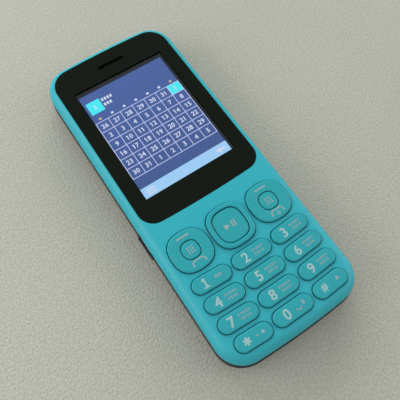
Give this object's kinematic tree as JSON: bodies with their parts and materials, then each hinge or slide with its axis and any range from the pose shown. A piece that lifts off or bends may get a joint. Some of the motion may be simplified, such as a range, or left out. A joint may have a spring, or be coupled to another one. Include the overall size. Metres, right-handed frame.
{
  "type": "feature phone",
  "caption": "Bar-shaped feature phone: dark lens over a small screen, square-round soft keys, a four-way ring with a centre key, pill-shaped number keys and a lift-off rear cover.",
  "frame": {"origin": "middle of the flat back, on the surface the phone lies on", "axes": "+X to the right seen from the front, +Y along the phone towards the earpiece, +Z out of the screen"},
  "size_m": [0.0543, 0.1294, 0.0146],
  "materials": {
    "teal_plastic": "satin",
    "black_plastic": "fine grain",
    "frame_plastic": "matte",
    "lens": "polished, dark border",
    "tape": "matte",
    "mesh": "dark mesh",
    "speaker_body": "moulded",
    "screen": "lit display",
    "steel": "stamped",
    "foam": "foam",
    "flex": "film",
    "silicone": "moulded",
    "board": "lacquered",
    "weight": "sintered",
    "camera_glass": "polished",
    "led": "moulded",
    "clear": "frosted",
    "battery_can": "plain wrap",
    "contacts": "plated"
  },
  "bodies": {
    "phone": {"front_housing": "teal_plastic", "chassis": "frame_plastic", "display_lens": "lens", "lens_tape": "tape", "earpiece_mesh": "mesh", "earpiece": "speaker_body", "lcd_panel": "screen", "lcd_frame": "steel", "lcd_gasket": "foam", "lcd_flex": "flex", "keypad_membrane": "silicone", "dome_switches": "steel", "main_board": "board", "shield_cans": "steel", "loudspeaker": "speaker_body", "vibration_motor": "steel", "microphone": "speaker_body", "camera_module": "speaker_body", "camera_window": "camera_glass", "torch_led": "led", "torch_lens": "clear", "battery": "battery_can", "battery_contacts": "contacts", "sim_holders": "steel", "memory_card_holder": "steel", "antenna": "contacts", "usb_port": "steel", "usb_bezel": "black_plastic", "audio_jack": "black_plastic", "case_screws": "steel"},
    "key_1": {"key_1": "teal_plastic"},
    "key_2": {"key_2": "teal_plastic"},
    "key_3": {"key_3": "teal_plastic"},
    "key_4": {"key_4": "teal_plastic"},
    "key_5": {"key_5": "teal_plastic"},
    "key_6": {"key_6": "teal_plastic"},
    "key_7": {"key_7": "teal_plastic"},
    "key_8": {"key_8": "teal_plastic"},
    "key_9": {"key_9": "teal_plastic"},
    "key_star": {"key_star": "teal_plastic"},
    "key_0": {"key_0": "teal_plastic"},
    "key_hash": {"key_hash": "teal_plastic"},
    "nav_ring": {"nav_ring": "teal_plastic"},
    "nav_actuator": {"nav_actuator": "frame_plastic"},
    "nav_centre_key": {"nav_centre_key": "teal_plastic"},
    "left_rocker_key": {"left_rocker_key": "teal_plastic"},
    "right_rocker_key": {"right_rocker_key": "teal_plastic"},
    "left_menu_key": {"left_menu_key": "teal_plastic"},
    "right_menu_key": {"right_menu_key": "teal_plastic"},
    "rear_cover": {"rear_cover": "black_plastic"},
    "vibration_weight": {"vibration_weight": "weight"}
  },
  "joints": [
    {"name": "key_1_press", "type": "slide", "parent": "phone", "child": "key_1", "axis": [0, 0, -1], "range_m": [0, 0.0003], "stiffness_N_per_m": 3000},
    {"name": "key_2_press", "type": "slide", "parent": "phone", "child": "key_2", "axis": [0, 0, -1], "range_m": [0, 0.0003], "stiffness_N_per_m": 3000},
    {"name": "key_3_press", "type": "slide", "parent": "phone", "child": "key_3", "axis": [0, 0, -1], "range_m": [0, 0.0003], "stiffness_N_per_m": 3000},
    {"name": "key_4_press", "type": "slide", "parent": "phone", "child": "key_4", "axis": [0, 0, -1], "range_m": [0, 0.0003], "stiffness_N_per_m": 3000},
    {"name": "key_5_press", "type": "slide", "parent": "phone", "child": "key_5", "axis": [0, 0, -1], "range_m": [0, 0.0003], "stiffness_N_per_m": 3000},
    {"name": "key_6_press", "type": "slide", "parent": "phone", "child": "key_6", "axis": [0, 0, -1], "range_m": [0, 0.0003], "stiffness_N_per_m": 3000},
    {"name": "key_7_press", "type": "slide", "parent": "phone", "child": "key_7", "axis": [0, 0, -1], "range_m": [0, 0.0003], "stiffness_N_per_m": 3000},
    {"name": "key_8_press", "type": "slide", "parent": "phone", "child": "key_8", "axis": [0, 0, -1], "range_m": [0, 0.0003], "stiffness_N_per_m": 3000},
    {"name": "key_9_press", "type": "slide", "parent": "phone", "child": "key_9", "axis": [0, 0, -1], "range_m": [0, 0.0003], "stiffness_N_per_m": 3000},
    {"name": "key_star_press", "type": "slide", "parent": "phone", "child": "key_star", "axis": [0, 0, -1], "range_m": [0, 0.0003], "stiffness_N_per_m": 3000},
    {"name": "key_0_press", "type": "slide", "parent": "phone", "child": "key_0", "axis": [0, 0, -1], "range_m": [0, 0.0003], "stiffness_N_per_m": 3000},
    {"name": "key_hash_press", "type": "slide", "parent": "phone", "child": "key_hash", "axis": [0, 0, -1], "range_m": [0, 0.0003], "stiffness_N_per_m": 3000},
    {"name": "nav_centre_key_press", "type": "slide", "parent": "phone", "child": "nav_centre_key", "axis": [0, 0, -1], "range_m": [0, 0.0003], "stiffness_N_per_m": 3000},
    {"name": "left_menu_key_press", "type": "slide", "parent": "phone", "child": "left_menu_key", "axis": [0, 0, -1], "range_m": [0, 0.0003], "stiffness_N_per_m": 3000},
    {"name": "right_menu_key_press", "type": "slide", "parent": "phone", "child": "right_menu_key", "axis": [0, 0, -1], "range_m": [0, 0.0003], "stiffness_N_per_m": 3000},
    {"name": "left_rocker_tilt", "type": "hinge", "parent": "phone", "child": "left_rocker_key", "pos_m": [-0.0161, -0.02375, 0.0109], "axis": [1, 0, 0], "range_deg": [-1.5, 1.5], "stiffness_Nm_per_rad": 0.3},
    {"name": "right_rocker_tilt", "type": "hinge", "parent": "phone", "child": "right_rocker_key", "pos_m": [0.0161, -0.02375, 0.0109], "axis": [1, 0, 0], "range_deg": [-1.5, 1.5], "stiffness_Nm_per_rad": 0.3},
    {"name": "nav_up_down_tilt", "type": "hinge", "parent": "phone", "child": "nav_actuator", "pos_m": [0, -0.02375, 0.0101], "axis": [1, 0, 0], "range_deg": [-1.5, 1.5], "stiffness_Nm_per_rad": 0.3},
    {"name": "nav_left_right_tilt", "type": "hinge", "parent": "nav_actuator", "child": "nav_ring", "pos_m": [0, -0.02375, 0.0109], "axis": [0, 1, 0], "range_deg": [-1.5, 1.5], "stiffness_Nm_per_rad": 0.3},
    {"name": "rear_cover_lift", "type": "slide", "parent": "phone", "child": "rear_cover", "axis": [0, 0, -1], "range_m": [0, 0.025]},
    {"name": "vibration_spin", "type": "hinge", "parent": "phone", "child": "vibration_weight", "pos_m": [0.0185, -0.04946, 0.0057], "axis": [0, 1, 0], "continuous": true}
  ]
}
